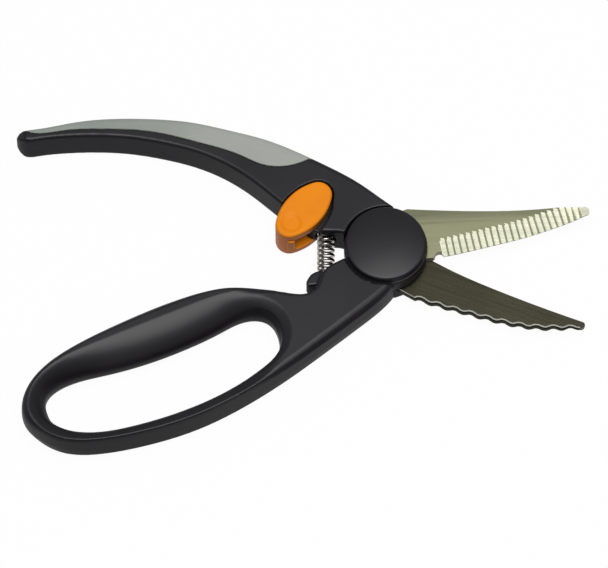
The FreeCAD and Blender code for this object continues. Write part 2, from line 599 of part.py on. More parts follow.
# ---- spring -------------------------------------------------------------------------------
def return_spring():
    """The coil spring between the two pockets, in the open pose."""
    low = turn(Part.Vertex(spring_pocket(FIXED_SEAT, FIXED_SEAT_WAY)[2]), OPEN_HALF).Point
    high = turn(Part.Vertex(spring_pocket(MOVING_SEAT, MOVING_SEAT_WAY)[2]), -OPEN_HALF).Point
    run = high - low
    middle = SPRING_OUT - SPRING_WIRE / 2
    long = run.Length - SPRING_WIRE - 2 * SPRING_PLAY
    sections = []
    for step in range(SPRING_TURNS * TURN_STEPS + 1):
        around = 360.0 * step / TURN_STEPS
        place = polar(middle, around, long * step / (SPRING_TURNS * TURN_STEPS))
        corners = []
        for side in range(WIRE_SIDES + 1):
            out = polar(SPRING_WIRE / 2, 360.0 * side / WIRE_SIDES)
            corners.append(place + polar(out.x, around, out.y))
        sections.append(Part.makePolygon(corners))
    coil = Part.makeLoft(sections, True, True)
    coil.translate(Vector(0, 0, SPRING_WIRE / 2 + SPRING_PLAY))
    coil.Placement = Placement(low, Rotation(UP, run)).multiply(coil.Placement)
    return coil


# ---- assembly -----------------------------------------------------------------------------
def build():
    near_blade, far_blade = serrated_blade(), scalloped_blade()
    fixed = {
        "loop_handle": loop_handle(near_blade),
        "serrated_blade": near_blade,
        "pivot_bush": pivot_bush(),
        "pivot_bolt": pivot_bolt(),
        "pivot_nut": pivot_nut(),
        "spring_washer": spring_washer(),
        "slip_washer": slip_washer(),
        "pivot_cap": pivot_cap(),
    }
    moving = {
        "palm_handle": palm_handle(far_blade),
        "soft_grip": soft_grip(),
        "scalloped_blade": far_blade,
        "rear_cap": rear_cap(),
        "lever_pin": lever_pin(),
        "lock_lever": lock_lever(),
    }
    nodes = {name: turn(shape, OPEN_HALF) for name, shape in fixed.items()}
    nodes.update({name: turn(shape, -OPEN_HALF) for name, shape in moving.items()})
    nodes["return_spring"] = return_spring()
    return nodes


def main():
    os.makedirs("parts", exist_ok=True)
    for name, shape in build().items():
        shape.translate(Vector(0, 0, HALF_THICK))
        solids = shape.Solids
        print(f"{name}: {len(solids)} solid, valid {shape.isValid()}, {shape.Volume:.0f} mm3")
        shape = solids[0] if len(solids) == 1 else Part.makeCompound(solids)
        shape.exportStep(f"parts/{name}.step")


main()
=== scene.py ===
"""Poultry shears: the looks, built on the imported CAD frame.

Each sub-assembly is a class that copies or models its own pieces and dresses them in a finish. Everything is
in metres, in the frame of the CAD: the pivot axis is Z, the blade tips point towards +X and the shears lie on
z = 0.
"""

from __future__ import annotations

import json
import logging
import math
from dataclasses import dataclass, field
from enum import Enum
from typing import Any, Iterable, Optional, Sequence, Union

import bpy
from mathutils import Matrix, Quaternion, Vector
from mathutils.bvhtree import BVHTree

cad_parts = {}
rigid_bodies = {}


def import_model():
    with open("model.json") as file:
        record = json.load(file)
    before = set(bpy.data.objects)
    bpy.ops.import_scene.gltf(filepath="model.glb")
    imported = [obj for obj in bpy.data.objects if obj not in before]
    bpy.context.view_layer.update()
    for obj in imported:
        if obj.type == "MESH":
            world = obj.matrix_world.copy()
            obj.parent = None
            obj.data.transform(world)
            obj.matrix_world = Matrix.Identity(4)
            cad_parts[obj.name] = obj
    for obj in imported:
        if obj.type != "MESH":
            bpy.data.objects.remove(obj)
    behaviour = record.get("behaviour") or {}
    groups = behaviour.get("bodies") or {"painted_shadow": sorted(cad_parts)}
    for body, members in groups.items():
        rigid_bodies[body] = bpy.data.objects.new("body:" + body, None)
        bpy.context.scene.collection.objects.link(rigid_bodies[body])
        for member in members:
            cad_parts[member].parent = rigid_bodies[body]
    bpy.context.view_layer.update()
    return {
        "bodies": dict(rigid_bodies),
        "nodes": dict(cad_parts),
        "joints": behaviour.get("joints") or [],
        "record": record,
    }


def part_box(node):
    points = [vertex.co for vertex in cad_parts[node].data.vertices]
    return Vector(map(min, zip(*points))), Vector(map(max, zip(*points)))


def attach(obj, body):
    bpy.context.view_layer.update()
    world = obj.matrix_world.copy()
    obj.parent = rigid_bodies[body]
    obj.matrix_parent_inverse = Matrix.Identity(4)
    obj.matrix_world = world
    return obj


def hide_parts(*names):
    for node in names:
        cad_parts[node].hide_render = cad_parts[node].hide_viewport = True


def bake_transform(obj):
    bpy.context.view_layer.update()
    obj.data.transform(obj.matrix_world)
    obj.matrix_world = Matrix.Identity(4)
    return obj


LOG = logging.getLogger("shears")
MM = 0.001
SAME_PLACE = 0.002 * MM  # corners nearer than this are one corner
STEP_PLACE = "step_place"  # the mesh attribute that marks the ground steps
Colour = tuple[float, float, float]
Span = tuple[float, float]  # where a smooth step starts and where it ends


class Body(str, Enum):
    """The rigid bodies that pieces ride on."""

    LOOP = "loop_half"
    PALM = "palm_half"
    LEVER = "lever"


class Slot(str, Enum):
    """The record's material slots for the modelled pieces; CAD nodes keep their own."""

    BLACK = "black_plastic"
    GRIP = "grip_rubber"
    ORANGE = "orange_plastic"
    NEAR_STEEL = "near_blade_steel"
    SPRING = "spring_steel"


# ---- shader graphs ------------------------------------------------------------------------


class Field:
    """A shader socket that can be used in arithmetic."""

    def __init__(self, graph: "Graph", socket: bpy.types.NodeSocket) -> None:
        """Wraps one output socket.

        Args:
            graph: the graph that the socket belongs to.
            socket: the output socket.
        """
        self.graph = graph
        self.socket = socket

    def _math(self, operation: str, *values: Any) -> "Field":
        """Adds a Math node on the given values."""
        return self.graph.node("ShaderNodeMath", {"operation": operation}, dict(enumerate(values)))

    def __add__(self, other: Any) -> "Field":
        """self + other."""
        return self._math("ADD", self, other)

    def __radd__(self, other: float) -> "Field":
        """other + self."""
        return self._math("ADD", other, self)

    def __sub__(self, other: Any) -> "Field":
        """self - other."""
        return self._math("SUBTRACT", self, other)

    def __rsub__(self, other: float) -> "Field":
        """other - self."""
        return self._math("SUBTRACT", other, self)

    def __mul__(self, other: Any) -> "Field":
        """self * other."""
        return self._math("MULTIPLY", self, other)

    def __rmul__(self, other: float) -> "Field":
        """other * self."""
        return self._math("MULTIPLY", other, self)

    def size(self) -> "Field":
        """self without its sign."""
        return self._math("ABSOLUTE", self)

    def step(self, low: float, high: float) -> "Field":
        """A smooth step from 0 at low to 1 at high.

        Args:
            low: where the step starts.
            high: where the step ends.

        Returns:
            The stepped value.
        """
        return self.graph.node(
            "ShaderNodeMapRange",
            {"interpolation_type": "SMOOTHSTEP"},
            {"Value": self, "From Min": low, "From Max": high, "To Min": 0.0, "To Max": 1.0},
        )


class Graph:
    """A material's node graph."""

    def __init__(self, name: str) -> None:
        """Starts a material with one Principled shader.

        Args:
            name: the material's name.
        """
        self.material = bpy.data.materials.new(name)
        self.material.use_nodes = True
        self.tree = self.material.node_tree
        self.tree.nodes.clear()
        self.shader = self.tree.nodes.new("ShaderNodeBsdfPrincipled")
        self.output = self.tree.nodes.new("ShaderNodeOutputMaterial")
        self.tree.links.new(self.shader.outputs["BSDF"], self.output.inputs["Surface"])

    def feed(self, socket: bpy.types.NodeSocket, value: Any) -> None:
        """Links a field to a socket, or sets the socket's own value.

        Args:
            socket: the input socket.
            value: a Field, a number, or a colour or vector.
        """
        if isinstance(value, Field):
            self.tree.links.new(value.socket, socket)
        elif isinstance(value, (int, float)):
            socket.default_value = value
        else:
            wide = len(socket.default_value)
            socket.default_value = (*value, 1.0) if wide == len(value) + 1 else tuple(value)

    def node(
        self,
        kind: str,
        settings: Optional[dict[str, Any]] = None,
        inputs: Optional[dict[Union[int, str], Any]] = None,
        output: Union[int, str] = 0,
    ) -> Field:
        """Adds any node.

        Args:
            kind: the node's type.
            settings: properties set before the sockets.
            inputs: socket name or index to a value or a Field.
            output: which output to return.

        Returns:
            The chosen output as a Field.
        """
        made = self.tree.nodes.new(kind)
        for key, value in (settings or {}).items():
            setattr(made, key, value)
        for key, value in (inputs or {}).items():
            self.feed(made.inputs[key], value)
        return Field(self, made.outputs[output])

    def place(self) -> Field:
        """Object coordinates, which are the frame's own metres."""
        return self.node("ShaderNodeTexCoord", output="Object")

    def turned(self, turn: float) -> Field:
        """Object coordinates, turned about Z by an angle in degrees."""
        spin = (0.0, 0.0, math.radians(turn))
        return self.node("ShaderNodeMapping", None, {"Vector": self.place(), "Rotation": spin})

    def mapped(self, scale: Sequence[float], turn: float = 0.0) -> Field:
        """Object coordinates, turned about Z and then scaled.

        Args:
            scale: factor along each axis.
            turn: angle in degrees.

        Returns:
            The mapped coordinates.
        """
        return self.node("ShaderNodeMapping", None, {"Vector": self.turned(turn), "Scale": tuple(scale)})

    def noise(self, where: Field, scale: float, detail: float = 3.0, rough: float = 0.55) -> Field:
        """Fractal noise between 0 and 1.

        Args:
            where: coordinates.
            scale: cells per metre, before the coordinates' own scale.
            detail: octaves.
            rough: how strong the small octaves are.

        Returns:
            The noise value.
        """
        return self.node(
            "ShaderNodeTexNoise",
            None,
            {"Vector": where, "Scale": scale, "Detail": detail, "Roughness": rough},
        )

    def blend(self, factor: Any, first: Any, second: Any) -> Field:
        """Mixes two colours.

        Args:
            factor: 0 gives the first colour, 1 the second.
            first: a colour or a Field.
            second: a colour or a Field.

        Returns:
            The mixed colour.
        """
        return self.node("ShaderNodeMix", {"data_type": "RGBA"}, {0: factor, 6: first, 7: second}, output=2)

    def bump(self, height: Field, distance: float, strength: float) -> Field:
        """A Bump node.

        Args:
            height: 0 to 1.
            distance: metres that a height of 1 stands for.
            strength: 0 to 1.

        Returns:
            The bumped normal.
        """
        inputs: dict[Union[int, str], Any] = {"Height": height, "Distance": distance, "Strength": strength}
        return self.node("ShaderNodeBump", None, inputs)

    def upward(self) -> Field:
        """How far the surface faces up or down: 1 on the broad faces, 0 on upright walls."""
        normal = self.node("ShaderNodeTexCoord", output="Normal")
        return self.node("ShaderNodeSeparateXYZ", None, {0: normal}, output="Z").size()

    def height(self) -> Field:
        """Metres above the floor."""
        return self.node("ShaderNodeSeparateXYZ", None, {0: self.place()}, output="Z")

    def across(self, turn: float) -> Field:
        """Metres along a direction in the plane of the floor.

        Args:
            turn: the direction, in degrees from X.

        Returns:
            The distance from the pivot.
        """
        return self.node("ShaderNodeSeparateXYZ", None, {0: self.turned(-turn)})

    def edges(self, low: float, high: float) -> Field:
        """1 on outward edges, 0 on flats and in corners."""
        return self.node("ShaderNodeNewGeometry", output="Pointiness").step(low, high)

    def whiten(self, share: float) -> None:
        """Lets the surface show as plain white, by a share, to the camera and in gloss and glass.

        Args:
            share: 0 keeps the shader, 1 is plain white.
        """
        seen = self.node("ShaderNodeLightPath", output="Is Camera Ray")
        glossy = Field(self, seen.socket.node.outputs["Is Glossy Ray"])
        through = Field(self, seen.socket.node.outputs["Is Transmission Ray"])
        glow = self.tree.nodes.new("ShaderNodeEmission")
        mixed = self.node("ShaderNodeMixShader", None, {0: (seen + glossy + through).step(0.0, 1.0) * share})
        self.tree.links.new(self.shader.outputs["BSDF"], mixed.socket.node.inputs[1])
        self.tree.links.new(glow.outputs["Emission"], mixed.socket.node.inputs[2])
        self.tree.links.new(mixed.socket, self.output.inputs["Surface"])

    def surface(self, **sockets: Any) -> bpy.types.Material:
        """Feeds the Principled shader and returns the material.

        Args:
            **sockets: socket names with underscores for spaces.

        Returns:
            The finished material.
        """
        for name, value in sockets.items():
            self.feed(self.shader.inputs[name.replace("_", " ").title().replace("Ior", "IOR")], value)
        return self.material


# ---- finishes -----------------------------------------------------------------------------


@dataclass(frozen=True)
class MouldedPlastic:
    """Spark-eroded black nylon: fine even grain and faint cloudiness, with the broad faces handled to a
    shine that the upright walls lack, and a painted highlight along its sharp edges."""

    name: str = "moulded_black"
    deep: Colour = (0.0112, 0.0098, 0.0124)
    worn: Colour = (0.0172, 0.0156, 0.0186)
    # painted highlight: the pale colour given to sharp edges, for the light that their creases catch
    crease_highlight: Colour = (0.085, 0.082, 0.085)
    crease_highlight_share: float = 0.5
    crease_highlighted: Span = (0.53, 0.62)  # how sharp an edge is where the painted highlight starts and is full
    handled: Span = (0.45, 0.86)  # how level a face is where the shine starts and is full
    clouds: float = 38.0
    cloudy: Span = (0.3, 0.7)
    grain: float = 2000.0
    grain_deep: float = 0.05 * MM
    grain_strength: float = 0.60
    roughness: float = 0.36
    shine: float = 0.68
    specular: float = 0.03

    def material(self) -> bpy.types.Material:
        """Builds the material."""
        g = Graph(self.name)
        where = g.place()
        cloud = g.noise(where, self.clouds, 4.0)
        grain = g.noise(where, self.grain, 2.0, 0.6)
        handled = g.upward().step(*self.handled)
        base = g.blend(cloud.step(*self.cloudy), self.deep, self.worn)
        # painted highlight along the sharp edges
        base = g.blend(g.edges(*self.crease_highlighted) * self.crease_highlight_share, base, self.crease_highlight)
        rough = self.roughness + (cloud - 0.5) * 0.14 + (grain - 0.5) * 0.12
        return g.surface(
            base_color=base,
            roughness=rough,
            specular_ior_level=self.specular,
            normal=g.bump(grain, self.grain_deep, self.grain_strength),
            coat_weight=handled * (self.shine - 0.10 * cloud),
            coat_roughness=self.roughness,
        )


@dataclass(frozen=True)
class SoftTouch:
    """Grey-green soft grip: matt, with a fine pebble and a little handling grime, and painted light that
    grows from its tail towards the pivot."""

    name: str = "soft_touch_grey"
    pale: Colour = (0.315, 0.345, 0.315)
    grimy: Colour = (0.255, 0.285, 0.256)
    # painted light: a paler colour for the part of the grip that turns more to the lamp
    painted_light: Colour = (0.475, 0.480, 0.440)
    painted_light_share: float = 0.5
    painted_light_run: Span = (-140.0 * MM, -50.0 * MM)  # where the painted light grows, along X, from the grip's tail towards the pivot
    clouds: float = 30.0
    cloudy: Span = (0.35, 0.75)
    flecks: float = 900.0
    flecked: Span = (0.62, 0.75)
    fleck_share: float = 0.12
    pebbles: float = 1900.0
    pebble_deep: float = 0.04 * MM
    roughness: float = 0.68

    def material(self) -> bpy.types.Material:
        """Builds the material."""
        g = Graph(self.name)
        where = g.place()
        cloud = g.noise(where, self.clouds, 5.0, 0.6)
        pebble = g.node(
            "ShaderNodeTexVoronoi", {"feature": "SMOOTH_F1"}, {"Vector": where, "Scale": self.pebbles}
        )
        fleck = g.noise(where, self.flecks, 2.0)
        base = g.blend(cloud.step(*self.cloudy), self.pale, self.grimy)
        base = g.blend(fleck.step(*self.flecked) * self.fleck_share, base, self.grimy)
        # painted light, growing from the grip's tail towards the pivot
        base = g.blend(g.across(0.0).step(*self.painted_light_run) * self.painted_light_share, base, self.painted_light)
        rough = self.roughness + (cloud - 0.5) * 0.14
        normal = g.bump(pebble, self.pebble_deep, 0.5)
        return g.surface(base_color=base, roughness=rough, ior=1.45, normal=normal)


@dataclass(frozen=True)
class OrangePlastic:
    """Satin orange acetal: an even colour with faint clouds and flow marks, a painted highlight on its edges,
    and painted shade in its corners and on its upright walls."""

    name: str = "satin_orange"
    bright: Colour = (0.930, 0.285, 0.007)
    dusty: Colour = (0.840, 0.250, 0.009)
    # painted shade: the colour given to upright walls and corners
    shade: Colour = (0.500, 0.135, 0.004)
    upright: Span = (0.80, 0.35)  # how level a face is where the painted shade starts and is full
    # how sharp an edge is where the painted highlight starts and is full
    edges: Span = (0.53, 0.60)
    edge_highlight_share: float = 0.35
    # painted shade in the corners, where the pointiness is low
    corners: Span = (0.48, 0.44)
    corner_shade_share: float = 0.55
    clouds: float = 60.0
    cloudy: Span = (0.35, 0.8)
    grain: float = 2600.0
    grain_deep: float = 0.02 * MM
    flow: tuple[float, float, float] = (90.0, 260.0, 90.0)
    flow_turn: float = 20.0
    roughness: float = 0.42
    specular: float = 0.14

    def material(self) -> bpy.types.Material:
        """Builds the material."""
        g = Graph(self.name)
        where = g.place()
        cloud = g.noise(where, self.clouds, 4.0)
        grain = g.noise(where, self.grain, 2.0)
        flow = g.noise(g.mapped(self.flow, self.flow_turn), 1.0, 3.0)
        base = g.blend(cloud.step(*self.cloudy), self.bright, self.dusty)
        # painted shade on the upright walls
        base = g.blend(g.upward().step(*self.upright), base, self.shade)
        # painted highlight on the outward edges
        base = g.blend(g.edges(*self.edges) * self.edge_highlight_share, base, self.bright)
        # painted shade in the corners
        base = g.blend(g.edges(*self.corners) * self.corner_shade_share, base, self.shade)
        rough = self.roughness + (cloud - 0.5) * 0.14 + (flow - 0.5) * 0.08
        normal = g.bump(grain, self.grain_deep, 0.4)
        return g.surface(base_color=base, roughness=rough, specular_ior_level=self.specular, normal=normal)


@dataclass(frozen=True)
class BladeSteel:
    """Stainless strip ground in one direction: flats with fine scratches, a few stains and painted shade
    towards the spine, a ground bevel of its own tone, and dull sheared walls.

    The tones on the bevel are painted light and not shape: a band of painted shade and a painted shadow at
    the root of each ground step, and painted shade on the rim below the height gleam.
    """

    name: str
    flat: Colour
    spine: Colour
    ground: Colour
    lay: float  # the way that the grinding runs, in degrees from X
    width: Span  # across the blade, from the painted shade at the spine to the flat's colour
    roughness: float = 0.33
    keen: float = 0.46  # the bevel's roughness
    scratch: float = 0.01 * MM
    level: Span = (0.988, 0.975)  # how level a face is where the bevel's finish starts and is full
    sheared: Span = (0.55, 0.30)  # and the same for the walls
    wall_share: float = 0.6
    # painted shade on a band of each ground step
    painted_band_shade: Colour = (0.125, 0.128, 0.084)
    band_start: Span = (0.02, 0.02 + 0.06)  # along a step, from 0 at its run-out to 1 at its deep end
    band_end: Span = (0.36, 0.36 + 0.03)
    # painted shadow at each step's root, also the painted shade on the rim below gleam
    painted_shadow: Colour = (0.030, 0.030, 0.020)
    shadow_start: Span = (0.95, 0.98)
    shadow_share: float = 0.8
    # below this height the bevel gets painted shade
    gleam: float = 0.0
    gleam_fade: float = 0.06 * MM
    stains: float = 26.0
    stained: Span = (0.40, 0.80)
    stain_share: float = 0.30
    scratched: Span = (0.35, 0.75)
    scratch_share: float = 0.22
    fine_lay: tuple[float, float, float] = (14.0, 2400.0, 300.0)
    coarse_lay: tuple[float, float, float] = (30.0, 700.0, 120.0)

    def material(self) -> bpy.types.Material:
        """Builds the material."""
        g = Graph(self.name)
        lines = g.noise(g.mapped(self.fine_lay, -self.lay), 1.0, 4.0, 0.7)
        coarse = g.noise(g.mapped(self.coarse_lay, -self.lay), 1.0, 3.0, 0.6)
        cloud = g.noise(g.place(), self.stains, 4.0)
        facing = g.upward()
        bevel = facing.step(*self.level)
        wall = facing.step(*self.sheared)
        # painted shade that darkens the flat towards the spine
        base = g.blend(g.across(90.0 + self.lay).step(*self.width), self.spine, self.flat)
        base = g.blend(cloud.step(*self.stained) * self.stain_share, base, self.spine)
        base = g.blend(bevel, base, self.ground)
        place = g.node("ShaderNodeAttribute", {"attribute_name": STEP_PLACE}, output="Fac")
        # painted shade on a band of each step
        band_shade_mask = place.step(*self.band_start) - place.step(*self.band_end)
        base = g.blend(band_shade_mask * bevel, base, self.painted_band_shade)
        # painted shadow at each step's root
        base = g.blend(place.step(*self.shadow_start) * self.shadow_share, base, self.painted_shadow)
        base = g.blend(lines.step(*self.scratched) * self.scratch_share, base, self.spine)
        base = g.blend(wall * self.wall_share, base, self.spine)
        # painted shade on the bevel's rim below gleam
        rim = g.height().step(self.gleam, self.gleam - self.gleam_fade)
        base = g.blend(rim * bevel, base, self.painted_shadow)
        rough = self.roughness + (self.keen - self.roughness) * bevel + wall * 0.2
        rough = rough + (lines - 0.5) * 0.18 + (coarse - 0.5) * 0.14 + (cloud - 0.5) * 0.08
        normal = g.bump(lines, self.scratch, 0.6)
        return g.surface(base_color=base, metallic=1.0, roughness=rough, normal=normal)


@dataclass(frozen=True)
class PlainMetal:
    """Turned or drawn metal, for small parts."""

    name: str
    colour: Colour
    shade: Colour
    roughness: float = 0.28
    clouds: float = 420.0
    clouds_deep: float = 0.01 * MM

    def material(self) -> bpy.types.Material:
        """Builds the material."""
        g = Graph(self.name)
        cloud = g.noise(g.place(), self.clouds, 3.0)
        base = g.blend(cloud.step(0.3, 0.8), self.colour, self.shade)
        rough = self.roughness + (cloud - 0.5) * 0.18
        normal = g.bump(cloud, self.clouds_deep, 0.3)
        return g.surface(base_color=base, metallic=1.0, roughness=rough, normal=normal)


# ---- modelling tools ----------------------------------------------------------------------


class Bench:
    """Small helpers round Blender's operators."""

    @staticmethod
    def take(piece: bpy.types.Object) -> None:
        """Makes one piece active and the only one selected."""
        bpy.ops.object.select_all(action="DESELECT")
        piece.select_set(True)
        bpy.context.view_layer.objects.active = piece

    @staticmethod
    def modify(piece: bpy.types.Object, kind: str, **settings: Any) -> None:
        """Adds a modifier and applies it.

        Args:
            piece: the piece.
            kind: the modifier's type.
            **settings: its properties.
        """
        Bench.take(piece)
        modifier = piece.modifiers.new(kind.lower(), kind)
        for key, value in settings.items():
            setattr(modifier, key, value)
        bpy.ops.object.modifier_apply(modifier=modifier.name)

    @staticmethod
    def copy_node(frame: dict[str, Any], node: str, name: str) -> bpy.types.Object:
        """A copy of a CAD node with its loose triangles merged.

        Args:
            node: the CAD node's name.
            name: the new piece's name.

        Returns:
            The new piece.
        """
        source = frame["nodes"][node]
        piece = bpy.data.objects.new(name, source.data.copy())
        bpy.context.scene.collection.objects.link(piece)
        piece.data.materials.clear()
        Bench.take(piece)
        bpy.ops.mesh.customdata_custom_splitnormals_clear()
        bpy.ops.object.mode_set(mode="EDIT")
        bpy.ops.mesh.select_all(action="SELECT")
        bpy.ops.mesh.remove_doubles(threshold=SAME_PLACE)
        bpy.ops.object.mode_set(mode="OBJECT")
        return piece

    @staticmethod
    def soften(piece: bpy.types.Object, voxel: float, rounds: int) -> None:
        """Rebuilds a closed piece as an even fine mesh with slightly rounded edges.

        Args:
            piece: the piece.
            voxel: the mesh's step, in metres.
            rounds: how many smoothing passes.
        """
        Bench.modify(piece, "REMESH", mode="VOXEL", voxel_size=voxel, adaptivity=0.0)
        Bench.modify(piece, "SMOOTH", factor=0.5, iterations=rounds)
        Bench.take(piece)
        bpy.ops.object.shade_smooth()

    @staticmethod
    def bake_place(piece: bpy.types.Object) -> None:
        """Puts a piece's place, turn and size into its mesh."""
        Bench.take(piece)
        bpy.ops.object.transform_apply(location=True, rotation=True, scale=True)

    @staticmethod
    def select_faces(piece: bpy.types.Object, wanted: Any) -> None:
        """Selects the faces for which wanted(face) is true and goes to edit mode."""
        Bench.take(piece)
        bpy.ops.object.mode_set(mode="EDIT")
        bpy.ops.mesh.select_mode(type="FACE")
        bpy.ops.mesh.select_all(action="DESELECT")
        bpy.ops.object.mode_set(mode="OBJECT")
        for face in piece.data.polygons:
            face.select = bool(wanted(face))
        bpy.ops.object.mode_set(mode="EDIT")

    @staticmethod
    def finish(
        piece: bpy.types.Object, body: Body, slot: Slot, dress: bpy.types.Material, *nodes: str
    ) -> None:
        """Dresses a piece and hangs it on its body.

        Args:
            piece: the finished piece.
            body: the body that it moves with.
            slot: the record's material slot; not used.
            dress: its material.
            *nodes: the CAD nodes that it stands for.
        """
        piece.data.materials.clear()
        piece.data.materials.append(dress)
        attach(piece, body.value)
        if nodes:
            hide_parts(*nodes)
        LOG.info("%s: %d faces", piece.name, len(piece.data.polygons))


def dress_node(frame: dict[str, Any], node: str, material: bpy.types.Material) -> None:
    """Gives a CAD node that is shown as it is a better material."""
    target = frame["nodes"][node]
    target.data.materials.clear()
    target.data.materials.append(material)


# ---- sub-assemblies -----------------------------------------------------------------------


@dataclass(frozen=True)
class Section:
    """Half of a rounded cross-section, from the finger loop's hole at -1 to the outer edge at 1."""

    crest: float  # where the section is highest
    edge: float  # its height at both ends
    inner: float  # how full its curve is from the crest to the hole
    outer: float  # and from the crest to the outer edge

    def height(self, place: float, half: float) -> float:
        """The section's height over the middle plane.

        Args:
            place: where across it, -1 to 1.
            half: its greatest height.

        Returns:
            The height.
        """
        if place > self.crest:
            away, power = (place - self.crest) / (1 - self.crest), self.outer
        else:
            away, power = (self.crest - place) / (1 + self.crest), self.inner
        return self.edge + (half - self.edge) * (1 - away ** power) ** (1 / power)


@dataclass
class Handles:
    """The two black handles and the soft grip."""

    frame: dict[str, Any]
    voxel: float = 0.50 * MM
    grip_voxel: float = 0.40 * MM
    rounds: int = 3
    pad_rounds: int = 60  # smoothing passes on the padded arm alone
    pad_swell: float = 0.30 * MM  # how far it is then pushed out
    hole_end: float = 7.0 * MM  # how far inside the hole's ends the middle line stops
    pad_fade: float = 6.0 * MM  # over this much either side of that line the pad fades out
    web_start: float = 12.0 * MM  # how far from the hole, towards the pivot, the pad ends
    neck: float = 30.0 * MM  # over this length the crest moves from neck_crest to the arm's own
    neck_crest: float = 0.75
    strap_start: float = 14.0 * MM  # from here on the strap's shape is full
    past_wall: float = 0.2 * MM  # a ray starts again this far past a wall; also the least height
    rim_cad: float = 2.0 * MM  # this much of the strap's rim is drawn in to rim_wanted
    rim_wanted: float = 0.8 * MM
    rim_reach: float = 4.0 * MM  # and here the drawing in ends
    arm: Section = Section(crest=0.62, edge=0.4 * MM, inner=1.55, outer=2.4)
    strap: Section = Section(crest=0.70, edge=6.3 * MM, inner=1.15, outer=2.6)
    under: Section = Section(crest=0.0, edge=2.5 * MM, inner=2.2, outer=2.2)

    def build(self, black: bpy.types.Material, grip: bpy.types.Material) -> None:
        """Builds and dresses the three mouldings.

        Args:
            black: the handles' material.
            grip: the soft grip's material.
        """
        loop = Bench.copy_node(self.frame, "loop_handle", "loop_handle_moulding")
        Bench.soften(loop, self.voxel, self.rounds)
        self.plump(loop)
        Bench.finish(loop, Body.LOOP, Slot.BLACK, black, "loop_handle")
        palm = Bench.copy_node(self.frame, "palm_handle", "palm_handle_moulding")
        Bench.soften(palm, self.voxel, self.rounds)
        Bench.finish(palm, Body.PALM, Slot.BLACK, black, "palm_handle")
        piece = Bench.copy_node(self.frame, "soft_grip", "soft_grip_moulding")
        Bench.soften(piece, self.grip_voxel, self.rounds)
        Bench.finish(piece, Body.PALM, Slot.GRIP, grip, "soft_grip")

    def loop_axis(self) -> tuple[Vector, Vector, float]:
        """The finger loop's middle line: its end by the pivot, the way it runs from there, and its length."""
        middles = []
        for opening in self.frame["record"]["physics"]["openings"]:
            if opening["name"] in ("finger_loop_near", "finger_loop_far"):
                low, high = (Vector(corner) for corner in opening["box_m"])
                middles.append(((low + high) / 2, low.x, high.x))
        middles.sort(key=lambda middle: middle[2])
        (far, last, _), (near, _, end) = middles
        way = (far - near).xy.normalized()
        start = near.xy - way * (end - near.x) / abs(way.x)
        return start, way, (end - last) / abs(way.x)

    def plump(self, loop: bpy.types.Object) -> None:
        """Gives the padded upper arm one full round section, and the thin strap a crisper rim and a face that
        leans towards the hole. The web stays as it is.

        Args:
            loop: the loop handle.
        """
        start, way, long = self.loop_axis()
        above = Vector((-way.y, way.x))
        if above.y < 0:
            above = -above
        low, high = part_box("loop_handle")
        middle, half = (low.z + high.z) / 2, (high.z - low.z) / 2
        corners = [vertex.co for vertex in loop.data.vertices]
        tree = BVHTree.FromPolygons(corners, [face.vertices for face in loop.data.polygons])
        group = loop.vertex_groups.new(name="pad")
        moved = {}
        for vertex in loop.data.vertices:
            out = vertex.co.xy - start
            side = self.ramp(out.dot(above), -self.pad_fade, self.pad_fade)
            along = self.ramp(out.dot(way), -self.web_start, self.pad_fade)
            group.add([vertex.index], side * along, "REPLACE")
            foot = start + way * min(max(out.dot(way), self.hole_end), long - self.hole_end)
            neck = 1 - self.ramp(out.dot(way), 0, self.neck)
            thin = (1 - side) * self.ramp(out.dot(way), -self.pad_fade, self.strap_start)
            place, width = self.place_across(tree, vertex.co, foot, middle)
            if width == 0 or side * along + thin == 0:
                continue
            spot = vertex.co.copy()
            if spot.z > middle:
                place = self.draw_rim(spot, foot, high.z, place, width, thin)
            change = 0.0
            if side * along > 0:
                section = self.pad(neck) if vertex.co.z > middle else self.under
                wanted = section.height(place, half) / self.cad_height(tree, vertex.co, middle, half)
                change += side * along * (wanted - 1)
            if spot.z > middle and place < self.strap.crest:
                change += thin * (self.strap.height(place, half) / half - 1)
            spot.z = middle + (spot.z - middle) * (1 + change)
            moved[vertex.index] = spot
        for index, spot in moved.items():
            loop.data.vertices[index].co = spot
        Bench.modify(loop, "SMOOTH", factor=0.5, iterations=self.pad_rounds, vertex_group="pad")
        Bench.modify(loop, "DISPLACE", strength=self.pad_swell, mid_level=0.0, vertex_group="pad")
        for vertex in loop.data.vertices:
            vertex.co.z = min(max(vertex.co.z, low.z), high.z)

    def pad(self, neck: float) -> Section:
        """The near side of the padded arm's section; neck is 1 where the arm meets the web, 0 elsewhere."""
        crest = self.arm.crest + (self.neck_crest - self.arm.crest) * neck
        return Section(crest, self.arm.edge, self.arm.inner, self.arm.outer)

    def draw_rim(
        self, spot: Vector, foot: Vector, top: float, place: float, width: float, thin: float
    ) -> float:
        """Moves a place on the strap's near half so that its outer rim is crisper.

        Args:
            spot: the place, which is moved.
            foot: the point of the finger loop's middle line that faces it.
            top: height of the near face.
            place: where it is across the strap, -1 to 1.
            width: the strap's width there.
            thin: how much of the change is made, 0 to 1.

        Returns:
            Where it then is across the strap.
        """
        inset, down = (1 - place) / 2 * width, top - spot.z
        crisp = inset + thin * (self.crisper(inset) - inset)
        spot += (spot.xy - foot).normalized().to_3d() * (inset - crisp)
        spot.z = top - down - thin * (self.crisper(down) - down)
        return 1 - 2 * crisp / width

